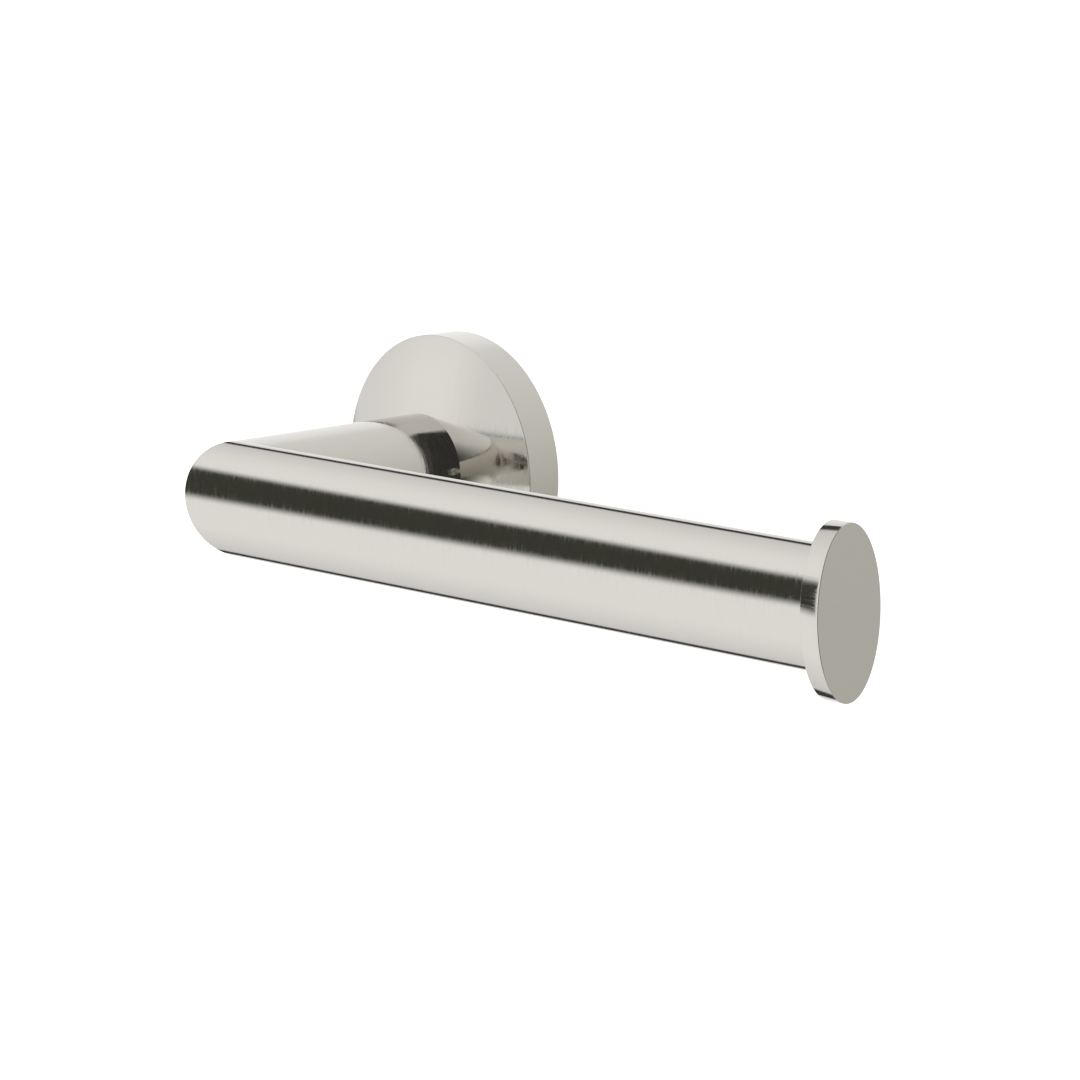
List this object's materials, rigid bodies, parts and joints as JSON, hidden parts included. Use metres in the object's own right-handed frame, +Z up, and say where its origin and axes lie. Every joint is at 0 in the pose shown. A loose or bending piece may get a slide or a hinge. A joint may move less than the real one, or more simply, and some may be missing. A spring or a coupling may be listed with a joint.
{
  "type": "toilet paper holder",
  "caption": "Wall-mounted toilet paper holder: domed round flange, round arm, sharp mitred corner, flat oval roll bar and oval end cap, in brushed nickel.",
  "frame": {"origin": "centre of the bracket's wall face, on the arm's axis", "axes": "+Y into the wall, +X along the roll bar towards its free end, +Z up"},
  "size_m": [0.1925, 0.0701, 0.055],
  "materials": {
    "brushed_nickel": "brushed nickel plate, satin",
    "brass": "turned",
    "cast_zinc": "as cast, matt",
    "zinc_plated_steel": "bright zinc plate",
    "spring_steel": "dark tempered",
    "stainless_steel": "turned"
  },
  "bodies": {
    "holder": {"flange_cover": "brushed_nickel", "arm": "brushed_nickel", "bar": "brushed_nickel", "end_cap": "brushed_nickel", "corner_key": "brass", "arm_plug": "brass", "bar_plug": "brass", "wall_bracket": "cast_zinc", "arm_screw": "zinc_plated_steel", "flat_washer": "zinc_plated_steel", "spring_washer": "spring_steel", "locating_pin": "spring_steel", "cap_stud": "zinc_plated_steel"},
    "grub_screw": {"grub_screw": "stainless_steel"}
  },
  "joints": [
    {"name": "grub_screw_slide", "type": "slide", "parent": "holder", "child": "grub_screw", "axis": [0, 0, -1], "range_m": [0, 0.003]}
  ]
}
